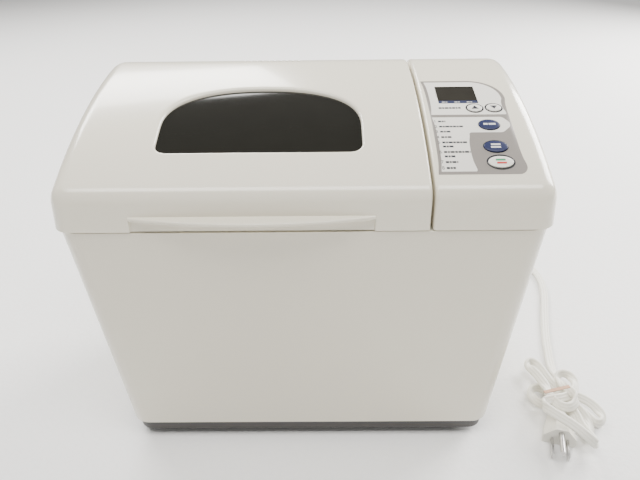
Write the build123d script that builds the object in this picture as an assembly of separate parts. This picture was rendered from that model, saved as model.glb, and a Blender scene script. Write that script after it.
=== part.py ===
from build123d import *
import math
import os

# Bread machine. Millimetres, +Z up, +X to the right of someone facing the machine, +Y to its back.
# The origin is on the surface it stands on, under the middle of the machine without its cord.

# ---- driving dimensions ----
WIDTH = 335.0            # across the top moulding at the seam
DEPTH = 200.0            # front face to back face at the seam
LIP = 9.0                # how far the lid's handle lip stands out in front
FRONT = (LIP - DEPTH) / 2
BACK = FRONT + DEPTH
SEAM = 222.0             # height of the joint between body and top moulding
WALL = 2.5               # moulded wall
SEAM_GAP = 1.2           # shadow gap between the body's rim and the top moulding

TOP_R = 383.0            # long arc of the top, seen from the side
TOP_CENTRE = (FRONT + 181.3, SEAM - 313.1)
FRONT_R, REAR_R, SIDE_R = 14.0, 45.0, 12.0
TOP_PLAN_R = (18.0, 45.0)     # front corners, rear corners
FRONT_LEAN, BACK_LEAN, SIDE_LEAN = 6.0, 3.0, 3.5    # degrees from upright
TOP_LIMIT = 90.0         # above the seam, higher than any part of the top

LID_RIGHT = 83.2         # right end of the lid
HOUSING_LEFT = 85.2      # left end of the fixed control housing

BODY_TOP_W, BODY_BOTTOM_W = 331.0, 313.0
BODY_Z0 = 20.5
BODY_Z1 = SEAM - SEAM_GAP
BODY_PLAN_R = (16.0, 38.0)    # front corners, rear corners
FOOT_R, FOOT_H, FOOT_X = 6.5, 8.0, 133.0
FOOT_Y = (FRONT + 28.0, FRONT + 162.0)
POSTS = [(x, FRONT + y) for x in (-135.0, 142.0) for y in (30.0, 154.0)]
TRAY_FLOOR = 3.0

CHAMBER_X = (-148.0, 68.0)
CHAMBER_Y = (FRONT + 20.0, FRONT + 176.0)
CHAMBER_Z = (50.0, 215.5)
SHEET = 1.0
CHASSIS_Z = (34.0, 36.0)
DECK_Z = (216.5, 219.8)

PAN_X, PAN_Y = -40.0, FRONT + 98.0
PAN_RIM, PAN_BASE = (188.0, 138.0), (176.0, 126.0)
PAN_Z = (64.0, 186.0)
PAN_WALL = 1.2
PAN_PLAN_R = (22.0, 22.0)
BAIL_Z, BAIL_R, BAIL_X, BAIL_REACH = 193.0, 2.2, 100.4, 58.0
EAR_X = (95.6, 97.2)

MOTOR_X = 125.0
SHAFT_R, MOTOR_SHAFT_R = 4.0, 3.0
RUNNING = 0.05           # radial clearance of a running fit
BIG_PULLEY_R, SMALL_PULLEY_R = 38.0, 9.0
BELT_Z = (18.2, 25.8)

HINGE_Y, HINGE_Z = FRONT + 192.0, SEAM + 8.0
HINGE_PIN_R, EAR_HALF, LUG_LENGTH = 2.0, 4.0, 9.0
HINGE_XS = (-105.0, 25.0)

WINDOW_X, WINDOW_HALF = -30.3, 70.5
WINDOW_Y0, WINDOW_Y1, WINDOW_RISE = 35.3, 62.0, 42.5     # from the front face
LINER_DEPTH, LINER_WALL = 14.0, 1.5

LCD_X, LCD_Y = (97.3, 126.0), (82.3, 104.6)              # y from the front face
# name: (x, y from the front face, width, height)
BUTTONS = {
    "button_up": (122.0, 76.4, 10.6, 8.6),
    "button_down": (135.6, 76.6, 10.6, 8.6),
    "button_select": (128.6, 58.3, 14.7, 10.4),
    "button_crust": (129.0, 38.1, 16.3, 10.4),
    "button_start": (129.9, 25.3, 16.6, 9.8),
}
LABEL_DEPTH = 0.6

CORD_X, CORD_Z = 120.0, 45.0
CORD_R = 2.8             # round bar of the same section as the flat 8.5 x 3.2 cord
BOOT_Y = (FRONT + 187.9, FRONT + 218.0)
CORD_ROUTE = [
    (CORD_X, BOOT_Y[1], CORD_Z),
    (CORD_X, 151, CORD_Z),
    (134, 183, 20),
    (166, 206, 4),
    (212, 213, 3),
    (255, 197, 3),
    (280, 163, 3),
    (279, 122, 3),
    (263, 76, 3),
    (250, 34, 3),
    (243, 3, 3),
]
BUTTON_PROUD, BUTTON_GAP = 0.9, 0.3
BUNDLE_H = 26.0
BUNDLE_OUTLINE = [(208, -56), (214.9, -65.3), (238, -71.9), (238, -102), (248, -102), (256, -86), (266, -76),
                  (267, -58), (257, -38), (257, -20), (250, 3), (234, 3), (212, -4), (206, -28)]
PLUG_X, PLUG_BACK, PLUG_FRONT, PLUG_TURN = 216.5, -67.0, -95.0, 16.0
BAND_PLACE, BAND_TURN = (224.0, -56.0), 15.0


# ---- helpers ----
def block(x, y, z):
    """A box given by its low and high limits along each axis."""
    size = (x[1] - x[0], y[1] - y[0], z[1] - z[0])
    centre = ((x[0] + x[1]) / 2, (y[0] + y[1]) / 2, (z[0] + z[1]) / 2)
    return Pos(*centre) * Box(*size)


def rod(x, y, z, radius):
    """An upright cylinder over the height range z."""
    return Pos(x, y, (z[0] + z[1]) / 2) * Cylinder(radius, z[1] - z[0])


def rod_x(x, y, z, radius):
    """A cylinder along X over the range x."""
    return Pos((x[0] + x[1]) / 2, y, z) * Rot(0, 90, 0) * Cylinder(radius, x[1] - x[0])


def plan_outline(x, y, radii):
    """A rectangle with one radius at its front corners and one at its rear corners."""
    outline = Pos((x[0] + x[1]) / 2, (y[0] + y[1]) / 2) * Rectangle(x[1] - x[0], y[1] - y[0])
    outline = fillet(outline.vertices().sort_by(Axis.Y)[:2], radii[0])
    return fillet(outline.vertices().sort_by(Axis.Y)[-2:], radii[1])


def plate(x, y, z, radius):
    """An upright prism with rounded vertical corners."""
    return Pos(0, 0, z[0]) * extrude(plan_outline(x, y, (radius, radius)), z[1] - z[0])


def tapered(low, high, z, radii):
    """A solid that widens from the low (x, y) ranges to the high ones."""
    return loft([Pos(0, 0, level) * plan_outline(x, y, radii) for (x, y), level in zip((low, high), z)])


def smaller(radii, inset):
    return (radii[0] - inset, radii[1] - inset)


def centred(x, y, width, depth):
    return ((x - width / 2, x + width / 2), (y - depth / 2, y + depth / 2))


def save(name, shape):
    export_step(shape, f"parts/{name}.step")


# ---- the common form of lid and control housing ----
def side_profile(inset):
    """The top moulding's outline seen from the side, drawn inwards by inset."""
    low = SEAM - (1 if inset else 0)
    lean_front = math.tan(math.radians(FRONT_LEAN))
    lean_back = math.tan(math.radians(BACK_LEAN))
    walls = Polygon(
        (FRONT + inset, low),
        (FRONT + inset + lean_front * TOP_LIMIT, SEAM + TOP_LIMIT),
        (BACK - inset - lean_back * TOP_LIMIT, SEAM + TOP_LIMIT),
        (BACK - inset, low),
        align=None,
    )
    face = walls & Pos(*TOP_CENTRE) * Circle(TOP_R - inset)
    upper = face.vertices().filter_by(lambda v: v.Y > low + 5).sort_by(Axis.X)
    face = fillet(upper[-1], REAR_R - inset)
    front_corner = face.vertices().filter_by(lambda v: v.Y > low + 5).sort_by(Axis.X)[0]
    return fillet(front_corner, FRONT_R - inset)


def top_form(inset):
    """The whole top moulding as a solid, with every surface moved inwards by inset."""
    low = SEAM - (1 if inset else 0)
    half = WIDTH / 2 - inset
    lean = math.tan(math.radians(SIDE_LEAN)) * TOP_LIMIT
    solid = extrude(Plane.YZ * side_profile(inset), WIDTH, both=True)
    ends = Polygon((-half, low), (-half + lean, SEAM + TOP_LIMIT), (half - lean, SEAM + TOP_LIMIT),
                   (half, low), align=None)
    solid = solid & extrude(Plane.XZ * ends, DEPTH, both=True)
    side_faces = solid.faces().filter_by(lambda f: abs(f.normal_at().X) > 0.9)
    rim = [e for f in side_faces for e in f.edges() if e.center().Z > low + 0.1]
    solid = fillet(rim, SIDE_R - inset)
    plan = plan_outline((-half, half), (FRONT + inset, BACK - inset), smaller(TOP_PLAN_R, inset))
    return solid & Pos(0, 0, low) * extrude(plan, TOP_LIMIT + 2)


def skin(depth_a, depth_b):
    """The layer between two depths under the long arc of the top."""
    ring = Circle(TOP_R - depth_a) - Circle(TOP_R - depth_b)
    layer = extrude(Plane.YZ * (Pos(*TOP_CENTRE) * ring), WIDTH, both=True)
    return layer & block((-WIDTH, WIDTH), (FRONT, BACK), (SEAM - 30, SEAM + TOP_LIMIT))


def above(outline):
    """An upright prism of a plan outline, through the whole top moulding."""
    return Pos(0, 0, SEAM - 10) * extrude(outline, TOP_LIMIT + 10)


def top_height(y):
    return TOP_CENTRE[1] + math.sqrt(TOP_R ** 2 - (y - TOP_CENTRE[0]) ** 2)


def top_plane(x, y_front):
    """The plane that touches the top at x, y_front, with its z axis pointing out."""
    y = FRONT + y_front
    z = top_height(y)
    normal = (0, (y - TOP_CENTRE[0]) / TOP_R, (z - TOP_CENTRE[1]) / TOP_R)
    return Plane(origin=(x, y, z), x_dir=(1, 0, 0), z_dir=normal)


# ---- lid ----
def window_outline(grow):
    arch = Pos(WINDOW_X, FRONT + WINDOW_Y1) * Ellipse(WINDOW_HALF + grow, WINDOW_RISE + grow)
    y0 = WINDOW_Y0 - grow
    upper = Pos(WINDOW_X, FRONT + WINDOW_Y1 + 50) * Rectangle(200, 100)
    lower = Pos(WINDOW_X, FRONT + (y0 + WINDOW_Y1) / 2) * Rectangle(2 * (WINDOW_HALF + grow), WINDOW_Y1 - y0)
    outline = (arch & upper) + lower
    return fillet(outline.vertices().sort_by(Axis.Y)[:2], 5 + grow)


def handle_lip():
    """The crescent ledge on the lid's front, a circular segment in plan."""
    x0, x1 = -113.7, 47.0
    radius = (((x1 - x0) / 2) ** 2 + LIP ** 2) / (2 * LIP)
    disc = Pos((x0 + x1) / 2, FRONT - LIP + radius) * Circle(radius)
    segment = disc & Pos((x0 + x1) / 2, FRONT - 10 + 1.5) * Rectangle(200, 20)
    return Pos(0, 0, SEAM + 8) * extrude(segment, 3)


def hinge_notch(x):
    return block((x - EAR_HALF - 0.6, x + EAR_HALF + 0.6), (HINGE_Y - 8, BACK + 1), (SEAM - 1, HINGE_Z + 7.5))


def hinge_lugs(x):
    near = EAR_HALF + 0.6
    return [rod_x((x + side * near, x + side * (near + LUG_LENGTH))[::side], HINGE_Y, HINGE_Z, 7)
            for side in (-1, 1)]


def lid_shell():
    outer = top_form(0) & block((-WIDTH, LID_RIGHT), (FRONT - 20, BACK + 20), (SEAM, SEAM + TOP_LIMIT))
    hollow = block((-WIDTH, LID_RIGHT - WALL), (FRONT - 20, BACK + 20), (SEAM - 1, SEAM + TOP_LIMIT))
    inner = top_form(WALL) & hollow
    shell = outer - inner
    shell -= above(window_outline(0))
    shell -= block((-113.7, 47.0), (FRONT - 5, FRONT + 1.5), (SEAM - 1, SEAM + 8))
    shell += handle_lip()
    for i in range(10):
        x = -52.0 + 5.07 * i
        shell -= block((x - 1.1, x + 1.1), (FRONT + 156, FRONT + 171), (SEAM + 40, SEAM + TOP_LIMIT))
    relief = block((-WIDTH, WIDTH), (HINGE_Y, BACK + 1), (SEAM - 1, HINGE_Z))
    shell -= relief - rod_x((-WIDTH, WIDTH), HINGE_Y, HINGE_Z, 7.8)
    for x in HINGE_XS:
        for lug in hinge_lugs(x):
            shell += lug
        shell -= hinge_notch(x)
        shell -= rod_x((x - 20, x + 20), HINGE_Y, HINGE_Z, HINGE_PIN_R + RUNNING)
    return shell


def window_pane():
    return skin(WALL + 0.05, WALL + 2.0) & above(window_outline(4))


def liner_dome(depth):
    """The inside cover's dome: upright walls under a roof that follows the top."""
    grow = LINER_DEPTH + LINER_WALL - depth
    roof = extrude(Plane.YZ * (Pos(*TOP_CENTRE) * Circle(TOP_R - depth)), WIDTH, both=True)
    walls = plate((-150.5 - grow, 72.5 + grow), (FRONT + 16.5 - grow, FRONT + 179.5 + grow),
                  (SEAM, SEAM + TOP_LIMIT), 14 + grow)
    return roof & walls


def liner_opening(grow):
    y = (FRONT + 45 - grow, FRONT + 98 + grow)
    return plate((-84 - grow, 24 + grow), y, (SEAM, SEAM + TOP_LIMIT), 20 + grow)


def lid_liner():
    flange = block((-WIDTH, 80.4), (FRONT, FRONT + 183), (SEAM, SEAM + LINER_WALL)) & top_form(WALL + 0.4)
    body = flange + liner_dome(LINER_DEPTH) - liner_dome(LINER_DEPTH + LINER_WALL)
    return body - liner_opening(0)


def liner_glass():
    return skin(LINER_DEPTH - 2.0, LINER_DEPTH - 0.05) & liner_opening(5)


# ---- control housing and its panel ----
def label_outline(inset):
    x = (88.0 + inset, 146.4 - inset)
    y = (FRONT + 16.0 + inset, FRONT + 113.3 - inset)
    outline = Pos(sum(x) / 2, sum(y) / 2) * Rectangle(x[1] - x[0], y[1] - y[0])
    right = outline.vertices().sort_by(Axis.X)[-2:].sort_by(Axis.Y)
    outline = fillet(right[1], 24)
    low_right = outline.vertices().sort_by(Axis.X)[-2:].sort_by(Axis.Y)[0]
    return fillet(low_right, 6)


def lcd_prism(inset):
    return block((LCD_X[0] + inset, LCD_X[1] - inset), (FRONT + LCD_Y[0] + inset, FRONT + LCD_Y[1] - inset),
                 (SEAM, SEAM + TOP_LIMIT))


def button_prism(name, grow, depth, height):
    """An oval prism on a button's own plane, from depth under the surface to height over it."""
    x, y, width, tall = BUTTONS[name]
    plane = top_plane(x, y)
    oval = Ellipse(width / 2 + grow, tall / 2 + grow)
    return plane * Pos(0, 0, -depth) * extrude(oval, depth + height)


def control_housing():
    right = block((HOUSING_LEFT, WIDTH), (FRONT - 20, BACK + 20), (SEAM, SEAM + TOP_LIMIT))
    hollow = block((HOUSING_LEFT + WALL, WIDTH), (FRONT - 20, BACK + 20), (SEAM - 1, SEAM + TOP_LIMIT))
    shell = (top_form(0) & right) - (top_form(WALL) & hollow)
    shell -= skin(-5, LABEL_DEPTH) & above(label_outline(0))
    shell -= lcd_prism(0)
    for name in BUTTONS:
        shell -= button_prism(name, BUTTON_GAP, 5, 5)
    return shell


def control_label():
    label = skin(0.05, LABEL_DEPTH) & above(label_outline(0.15))
    label -= lcd_prism(0)
    for name in BUTTONS:
        label -= button_prism(name, BUTTON_GAP, 5, 5)
    return label


def lcd_window():
    return skin(0.3, 2.3) & lcd_prism(0.15)


def lcd_module():
    plane = top_plane(sum(LCD_X) / 2, sum(LCD_Y) / 2)
    return plane * Pos(0, 0.9, -6) * Box(34, 21.6, 5)


def board_plane():
    return top_plane(119.0, 65.0)


def control_board():
    return board_plane() * Pos(0, 0, -14.2) * Box(58, 96, 1.6)


def tact_switches():
    under_board = board_plane() * Pos(0, 0, -13.4 - 20) * Box(200, 200, 40)
    switches = []
    for x, y, _, _ in BUTTONS.values():
        body = top_plane(x, y) * Pos(0, 0, -12.6) * Box(6, 6, 7)
        switches.append(body - under_board)
    return Compound(children=switches)


def button(name):
    """A cap through the panel, a flange that keeps it in, and a stem for its switch."""
    x, y, _, _ = BUTTONS[name]
    cap = button_prism(name, 0, 4.2, BUTTON_PROUD)
    flange = button_prism(name, 1.2, 4.2, -3.0)
    stem = top_plane(x, y) * Pos(0, 0, -5.9) * Cylinder(1.6, 3.6)
    return cap + flange + stem


# ---- body ----
def body_ranges(level, inset):
    """The body's outer (x, y) ranges at a height, drawn inwards by inset."""
    share = (level - BODY_Z0) / (BODY_Z1 - BODY_Z0)
    half = (BODY_BOTTOM_W + share * (BODY_TOP_W - BODY_BOTTOM_W)) / 2 - inset
    y0 = FRONT + 10.0 - 9.0 * share + inset
    y1 = FRONT + 189.5 + 9.0 * share - inset
    return ((-half, half), (y0, y1))


def body_shell():
    outer = tapered(body_ranges(BODY_Z0, 0), body_ranges(BODY_Z1, 0), (BODY_Z0, BODY_Z1), BODY_PLAN_R)
    inner = tapered(body_ranges(BODY_Z0, WALL), body_ranges(BODY_Z1, WALL), (BODY_Z0, BODY_Z1),
                    smaller(BODY_PLAN_R, WALL))
    shell = outer - inner
    for i in range(7):
        y = FRONT + 110 + 9 * i
        shell -= block((140, 180), (y - 1.5, y + 1.5), (62, 96))
    return shell - block((CORD_X - 6.2, CORD_X + 6.2), (BACK - 20, BACK), (CORD_Z - 3.7, CORD_Z + 3.7))


def base_tray():
    low, high = FOOT_H, 26.0
    outer = tapered(body_ranges(low, 3.0), body_ranges(high, 3.0), (low, high), smaller(BODY_PLAN_R, 3))
    inner = tapered(body_ranges(low, 5.5), body_ranges(high, 5.5), (low, high), smaller(BODY_PLAN_R, 5.5))
    floor = block((-WIDTH, WIDTH), (FRONT, BACK), (low, low + TRAY_FLOOR))
    tray = outer - (inner - floor)
    for x, y in POSTS:
        tray += rod(x, y, (low + TRAY_FLOOR, CHASSIS_Z[0]), 6)
    for i in range(8):
        x = 88 + 8 * i
        tray -= block((x - 2, x + 2), (FRONT + 120, FRONT + 150), (low, low + TRAY_FLOOR))
    return tray


def foot(x, y):
    return fillet(rod(x, y, (0, FOOT_H), FOOT_R).edges().sort_by(Axis.Z)[0], 0.8)


def top_deck():
    x, y = body_ranges(DECK_Z[0], WALL + 0.3)
    outline = plan_outline(x, y, smaller(BODY_PLAN_R, WALL))
    deck = Pos(0, 0, DECK_Z[0]) * extrude(outline, DECK_Z[1] - DECK_Z[0])
    deck -= plate((CHAMBER_X[0] + 1, CHAMBER_X[1] - 1), (CHAMBER_Y[0] + 1, CHAMBER_Y[1] - 1),
                  (DECK_Z[0], DECK_Z[1]), 19)
    return deck - plate((96, 150), (FRONT + 30, FRONT + 60), DECK_Z, 6)


def hinge_brackets():
    """Two brackets screwed to the deck, each with one round-topped ear for the pin."""
    brackets = []
    for x in HINGE_XS:
        base = block((x - 13, x + 13), (HINGE_Y - 7.5, HINGE_Y + 3.6), (DECK_Z[1], DECK_Z[1] + 1.6))
        stem = block((x - EAR_HALF, x + EAR_HALF), (HINGE_Y - 3.6, HINGE_Y + 3.6), (DECK_Z[1], HINGE_Z))
        ear = base + stem + rod_x((x - EAR_HALF, x + EAR_HALF), HINGE_Y, HINGE_Z, 6)
        brackets.append(ear - rod_x((x - 20, x + 20), HINGE_Y, HINGE_Z, HINGE_PIN_R))
    return Compound(children=brackets)


def hinge_pins():
    reach = EAR_HALF + 0.6 + LUG_LENGTH
    return Compound(children=[rod_x((x - reach, x + reach), HINGE_Y, HINGE_Z, HINGE_PIN_R) for x in HINGE_XS])


# ---- baking chamber ----
def element_holes():
    return [rod_x((CHAMBER_X[1] - 3, CHAMBER_X[1] + 4), PAN_Y + side * 10, 72, 6) for side in (-1, 1)]


def chamber():
    out_x = (CHAMBER_X[0] - SHEET, CHAMBER_X[1] + SHEET)
    out_y = (CHAMBER_Y[0] - SHEET, CHAMBER_Y[1] + SHEET)
    tub = plate(out_x, out_y, (CHAMBER_Z[0] - SHEET, DECK_Z[0]), 21)
    tub += plate((-156, 78), (FRONT + 12, FRONT + 184), (CHAMBER_Z[1], DECK_Z[0]), 24)
    tub -= plate(CHAMBER_X, CHAMBER_Y, (CHAMBER_Z[0], DECK_Z[0]), 20)
    tub -= rod(PAN_X, PAN_Y, (CHAMBER_Z[0] - 5, CHAMBER_Z[0] + 5), 12.3)
    for hole in element_holes():
        tub -= hole
    return tub


def heating_element():
    z = 72.0
    x0, x1 = CHAMBER_X[0] + 9, CHAMBER_X[1] - 9
    y0, y1 = CHAMBER_Y[0] + 7, CHAMBER_Y[1] - 7
    points = [(79, PAN_Y - 10, z), (x1, PAN_Y - 10, z), (x1, y0, z), (x0, y0, z), (x0, y1, z), (x1, y1, z),
              (x1, PAN_Y + 10, z), (79, PAN_Y + 10, z)]
    path = FilletPolyline(*points, radius=9)
    return sweep(Plane(path @ 0, z_dir=path % 0) * Circle(3.2), path)


def element_insulators():
    rings = []
    for side in (-1, 1):
        ring = rod_x((CHAMBER_X[1] + 0.2, CHAMBER_X[1] + 6.2), PAN_Y + side * 10, 72, 5.95)
        rings.append(ring - rod_x((60, 80), PAN_Y + side * 10, 72, 3.25))
    return Compound(children=rings)


def chamber_spacers():
    return Compound(children=[rod(PAN_X + dx, PAN_Y + dy, (CHASSIS_Z[1], CHAMBER_Z[0] - SHEET), 5)
                              for dx in (-80, 80) for dy in (-58, 58)])


def temp_probe():
    """A round sensor head on the chamber's front wall, with its stem outside."""
    y = CHAMBER_Y[0]
    head = Pos(PAN_X + 60, y + 2.5, 110) * Rot(90, 0, 0) * Cylinder(6, 5)
    return head + Pos(PAN_X + 60, y - 4.5, 110) * Rot(90, 0, 0) * Cylinder(3, 7) - block(
        (-40, 60), (y - SHEET, y), (90, 130))


def pan_seat():
    ring = rod(PAN_X, PAN_Y, (CHAMBER_Z[0], CHAMBER_Z[0] + 3), 53) - rod(PAN_X, PAN_Y, (40, 60), 45.5)
    for side in (-1, 1):
        x = sorted((PAN_X + side * 46, PAN_X + side * 48))
        ring += block(x, (PAN_Y - 9, PAN_Y + 9), (CHAMBER_Z[0], CHAMBER_Z[0] + 10))
    return ring


# ---- pan, bail and paddle ----
def bread_pan():
    outer = tapered(centred(PAN_X, PAN_Y, *PAN_BASE), centred(PAN_X, PAN_Y, *PAN_RIM), PAN_Z, PAN_PLAN_R)
    lip = plate(*centred(PAN_X, PAN_Y, PAN_RIM[0] + 3, PAN_RIM[1] + 3), (PAN_Z[1] - 2, PAN_Z[1]), 23.5)
    base_in = [side - 2 * PAN_WALL for side in PAN_BASE]
    rim_in = [side - 2 * PAN_WALL for side in PAN_RIM]
    inner = tapered(centred(PAN_X, PAN_Y, *base_in), centred(PAN_X, PAN_Y, *rim_in),
                    (PAN_Z[0] + PAN_WALL, PAN_Z[1]), smaller(PAN_PLAN_R, PAN_WALL))
    return outer + lip - inner - rod(PAN_X, PAN_Y, (PAN_Z[0] - 5, PAN_Z[0] + 5), 10)


def pan_foot():
    return rod(PAN_X, PAN_Y, (CHAMBER_Z[0] + 0.2, PAN_Z[0]), 45) - rod(PAN_X, PAN_Y, (40, 80), 42.5)


def pan_bush():
    floor = PAN_Z[0] + PAN_WALL
    bush = rod(PAN_X, PAN_Y, (62.5, 76), 10) + rod(PAN_X, PAN_Y, (floor, floor + 2), 16)
    return bush - rod(PAN_X, PAN_Y, (50, 90), SHAFT_R + RUNNING)


def pan_ears():
    """Two riveted lugs that stand above the rim and carry the bail."""
    ears = []
    for side in (-1, 1):
        x = sorted((PAN_X + side * EAR_X[0], PAN_X + side * EAR_X[1]))
        ear = block(x, (PAN_Y - 10, PAN_Y + 10), (168, BAIL_Z)) + rod_x(x, PAN_Y, BAIL_Z, 10)
        for dy in (-6, 6):
            ear += rod_x(sorted((PAN_X + side * 93.75, PAN_X + side * EAR_X[0])), PAN_Y + dy, 175, 2.4)
        ears.append(ear - rod_x((PAN_X - 110, PAN_X + 110), PAN_Y, BAIL_Z, BAIL_R + RUNNING))
    return Compound(children=ears)


def bail_wire():
    """The carrying handle's wire, folded forward over the rim."""
    y = PAN_Y - BAIL_REACH
    right = [(PAN_X + 95.0, PAN_Y, BAIL_Z), (PAN_X + BAIL_X, PAN_Y, BAIL_Z), (PAN_X + BAIL_X, y, BAIL_Z)]
    left = [(2 * PAN_X - px, py, pz) for px, py, pz in reversed(right)]
    path = FilletPolyline(*right, *left, radius=[2.8, 12, 12, 2.8])
    return sweep(Plane(path @ 0, z_dir=path % 0) * Circle(BAIL_R), path)


def bail_grip():
    y = PAN_Y - BAIL_REACH
    span = (PAN_X - 48, PAN_X + 48)
    return rod_x(span, y, BAIL_Z, 5) - rod_x(span, y, BAIL_Z, BAIL_R)


def pan_shaft():
    return rod(PAN_X, PAN_Y, (56.5, 99), SHAFT_R)


def pan_coupler():
    bar = block((PAN_X - 11, PAN_X + 11), (PAN_Y - 2.5, PAN_Y + 2.5), (56.5, 61.5))
    return bar + rod(PAN_X, PAN_Y, (56.5, 62), 6) - rod(PAN_X, PAN_Y, (50, 70), SHAFT_R)


def paddle():
    hub = rod(PAN_X, PAN_Y, (76.5, 101), 9)
    blade = loft([
        Pos(PAN_X + 30, PAN_Y, 77) * RectangleRounded(52, 9, 4),
        Pos(PAN_X + 26, PAN_Y, 97) * RectangleRounded(40, 3.6, 1.7),
    ])
    return hub + blade - rod(PAN_X, PAN_Y, (70, 99), SHAFT_R)


# ---- drive ----
def chassis_plate():
    deck = plate((-150, 152), (FRONT + 18, FRONT + 180), CHASSIS_Z, 30)
    deck -= rod(PAN_X, PAN_Y, CHASSIS_Z, 12)
    return deck - rod(MOTOR_X, PAN_Y, CHASSIS_Z, 8)


def bearing_housing():
    top = CHAMBER_Z[0] + 2
    housing = rod(PAN_X, PAN_Y, (CHASSIS_Z[1], CHASSIS_Z[1] + 3), 24)
    housing += rod(PAN_X, PAN_Y, (CHASSIS_Z[0], top), 11.9)
    return housing - rod(PAN_X, PAN_Y, (20, 60), SHAFT_R + RUNNING)


def drive_shaft():
    return rod(PAN_X, PAN_Y, (14, 55.5), SHAFT_R)


def pulley(x, radius, bore):
    z0, z1 = BELT_Z[0] - 1.2, BELT_Z[1] + 1.2
    wheel = rod(x, PAN_Y, (z0, z1), radius)
    for level in ((z0, z0 + 1), (z1 - 1, z1)):
        wheel += rod(x, PAN_Y, level, radius + 3)
    return wheel - rod(x, PAN_Y, (z0, z1), bore)


def large_pulley():
    wheel = pulley(PAN_X, BIG_PULLEY_R, SHAFT_R)
    for step in range(6):
        angle = math.radians(60 * step)
        wheel -= rod(PAN_X + 22 * math.cos(angle), PAN_Y + 22 * math.sin(angle), (10, 32), 8)
    return wheel


def belt_loop(grow):
    big = Pos(PAN_X, PAN_Y) * Circle(BIG_PULLEY_R + grow)
    small = Pos(MOTOR_X, PAN_Y) * Circle(SMALL_PULLEY_R + grow)
    return make_hull((big + small).edges())


def drive_belt():
    return Pos(0, 0, BELT_Z[0]) * extrude(belt_loop(2.5) - belt_loop(0.3), BELT_Z[1] - BELT_Z[0])


def drive_coupler():
    """A disc with two dogs that push the pan's coupler bar round."""
    dogs = rod(PAN_X, PAN_Y, (55.5, 62.5), 14) - rod(PAN_X, PAN_Y, (50, 70), 7)
    dogs -= block((PAN_X - 20, PAN_X + 20), (PAN_Y - 6, PAN_Y + 6), (50, 70))
    disc = rod(PAN_X, PAN_Y, (52.5, 55.5), 14)
    return disc + dogs - rod(PAN_X, PAN_Y, (50, 56), SHAFT_R)


def motor():
    """An upright motor: round can, foot flange and top bearing cap."""
    can = rod(MOTOR_X, PAN_Y, (CHASSIS_Z[1] + 3, 88), 27) + rod(MOTOR_X, PAN_Y, (88, 92), 12)
    can += plate((MOTOR_X - 25, MOTOR_X + 25), (PAN_Y - 38, PAN_Y + 38), (CHASSIS_Z[1], CHASSIS_Z[1] + 3), 8)
    return can - rod(MOTOR_X, PAN_Y, (20, 100), MOTOR_SHAFT_R + RUNNING)


def motor_shaft():
    return rod(MOTOR_X, PAN_Y, (15, 96), MOTOR_SHAFT_R)


# ---- right-hand compartment ----
def partition():
    return block((82, 83), (FRONT + 16, FRONT + 184), (CHASSIS_Z[1], DECK_Z[0]))


def power_board():
    return block((92, 152), (FRONT + 16, FRONT + 17.6), (100, 200))


def transformer():
    core = block((104, 140), (FRONT + 17.6, FRONT + 50), (116, 146))
    winding = plate((109, 135), (FRONT + 19, FRONT + 48), (108, 154), 5)
    return core + winding


def base_screws():
    """The four screws that hold the chassis plate on the tray's posts."""
    return Compound(children=[rod(x, y, (CHASSIS_Z[1], CHASSIS_Z[1] + 2.4), 3.5)
                              for x, y in POSTS])


# ---- cord ----
def strain_relief():
    """A flange inside the wall and a tapered flat boot outside it."""
    root = Plane(origin=(CORD_X, BOOT_Y[0], CORD_Z), x_dir=(1, 0, 0), z_dir=(0, 1, 0))
    length = BOOT_Y[1] - BOOT_Y[0]
    tip = root * Pos(0, 0, length)
    boot = loft([root * RectangleRounded(12, 7, 3), tip * RectangleRounded(10, 5.8, 2.8)])
    flange = root * Pos(0, 0, -2.8) * extrude(RectangleRounded(18, 12, 3), 2.0)
    neck = root * Pos(0, 0, -2.8) * extrude(RectangleRounded(12, 7, 3), 2.8)
    return boot + flange + neck


def corner_radii(points):
    """The arc at each corner: 0.45 of its shorter run over the tangent of half the turn."""
    radii = []
    for before, here, after in zip(points, points[1:], points[2:]):
        run_in = Vector(*here) - Vector(*before)
        run_out = Vector(*after) - Vector(*here)
        half_turn = math.radians(run_in.get_angle(run_out) / 2)
        radii.append(0.45 * min(run_in.length, run_out.length) / math.tan(half_turn))
    return radii


def power_cord():
    radii = corner_radii(CORD_ROUTE)
    path = FilletPolyline(*CORD_ROUTE, radius=radii)
    tube = sweep(Plane(path @ 0, z_dir=path % 0) * Circle(CORD_R), path)
    print("cord arc radii:", [round(r) for r in radii])
    print("cord tube length", round(path.length), "volume over section times length",
          round(tube.volume / (math.pi * CORD_R ** 2 * path.length), 4))
    return tube


def cord_bundle():
    outline = Polygon(*BUNDLE_OUTLINE, align=None)
    outline = fillet(outline.vertices(), 5)
    solid = extrude(outline, BUNDLE_H)
    return fillet(solid.faces().sort_by(Axis.Z)[-1].edges(), 5)


def plug_section(half, shoulder, top, low, high, y):
    """The plug's outline at y: a level base, upright sides and shoulders that slope to the earth pin."""
    plane = Plane(origin=(PLUG_X, y, 0), x_dir=(1, 0, 0), z_dir=(0, -1, 0))
    outline = Polygon((-half, low), (half, low), (half, shoulder), (top, high), (-top, high),
                      (-half, shoulder), align=None)
    return plane * fillet(outline.vertices(), 1.5)


def turned_plug(shape):
    """The plug lies turned a little about its face."""
    pivot = Pos(PLUG_X, PLUG_FRONT, 0)
    return pivot * Rot(0, 0, -PLUG_TURN) * pivot.inverse() * shape


def plug_body():
    face = plug_section(13.5, 9.5, 4.8, 0.5, 19.3, PLUG_FRONT)
    middle = plug_section(12.0, 9.2, 4.6, 0.8, 18.3, PLUG_FRONT + 12)
    grip = plug_section(7.5, 8.8, 4.0, 2.2, 15.0, PLUG_BACK)
    return turned_plug(loft([face, middle, grip], ruled=True))


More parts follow.
